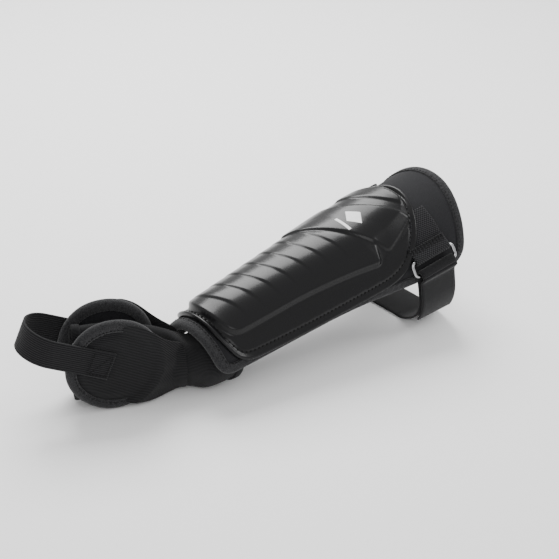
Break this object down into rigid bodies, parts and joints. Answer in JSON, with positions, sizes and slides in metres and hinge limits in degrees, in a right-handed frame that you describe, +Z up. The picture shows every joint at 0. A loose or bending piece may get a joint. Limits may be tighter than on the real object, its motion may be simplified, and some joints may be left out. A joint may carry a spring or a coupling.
{
  "type": "shin guard",
  "caption": "Shin guard with a moulded shell on a curved foam pad, a calf strap through a wire ring, and a knitted ankle sleeve with padded discs and an elastic foot loop.",
  "frame": {"origin": "on the floor under the middle of the bounding box", "axes": "+X towards the knee end, +Z up, the ring side of the strap faces -Y"},
  "size_m": [0.4084, 0.1458, 0.1219],
  "materials": {
    "brushed_lining": "brushed soft lining",
    "foam": "closed-cell foam",
    "knit_cover": "smooth matt knit",
    "binding_tape": "textured binding tape",
    "shell_plastic": "moulded, satin gloss",
    "thread": "sewing thread",
    "badge_print": "white print",
    "webbing": "woven webbing",
    "ring_wire": "bright plated wire",
    "loop_strap": "brushed loop pile",
    "hook": "moulded hooks",
    "rib_knit": "ribbed elastic knit",
    "elastic": "ribbed woven elastic"
  },
  "bodies": {
    "guard": {"pad_lining": "brushed_lining", "pad_foam": "foam", "pad_cover": "knit_cover", "pad_binding": "binding_tape", "shell": "shell_plastic", "shell_stitching": "thread", "shell_badge": "badge_print", "ring_tab": "webbing", "tab_stitching": "thread", "strap": "loop_strap", "strap_stitching": "thread", "sleeve_yoke": "rib_knit"},
    "ring": {"ring": "ring_wire"},
    "strap_tail": {"strap_tail": "loop_strap", "hook_patch": "hook"},
    "ankle": {"ankle_sleeve": "rib_knit", "sleeve_hem": "rib_knit", "sleeve_toe_hem": "rib_knit", "near_disc_lining": "brushed_lining", "near_disc_foam": "foam", "near_disc_cover": "knit_cover", "near_disc_binding": "binding_tape", "far_disc_lining": "brushed_lining", "far_disc_foam": "foam", "far_disc_cover": "knit_cover", "far_disc_binding": "binding_tape"},
    "stirrup": {"stirrup": "elastic", "near_stirrup_stitching": "thread", "far_stirrup_stitching": "thread"}
  },
  "joints": [
    {"name": "ring_swivel", "type": "hinge", "parent": "guard", "child": "ring", "pos_m": [0.15143, -0.06108, 0.07627], "axis": [0.9817, -0.059, 0.1809], "range_deg": [-3, 3]},
    {"name": "tail_peel", "type": "hinge", "parent": "guard", "child": "strap_tail", "pos_m": [0.1535, -0.07159, 0.06319], "axis": [-0.9817, 0.059, -0.1809], "range_deg": [0, 110]},
    {"name": "ankle_flex", "type": "hinge", "parent": "guard", "child": "ankle", "pos_m": [-0.0717, -0.00432, 0.051], "axis": [0, 1, 0], "range_deg": [0, 20]},
    {"name": "stirrup_swing", "type": "hinge", "parent": "ankle", "child": "stirrup", "pos_m": [-0.14091, 0.03165, 0.04687], "axis": [-0.3908, -0.9205, 0], "range_deg": [-15, 15], "stiffness_Nm_per_rad": 0.08}
  ]
}
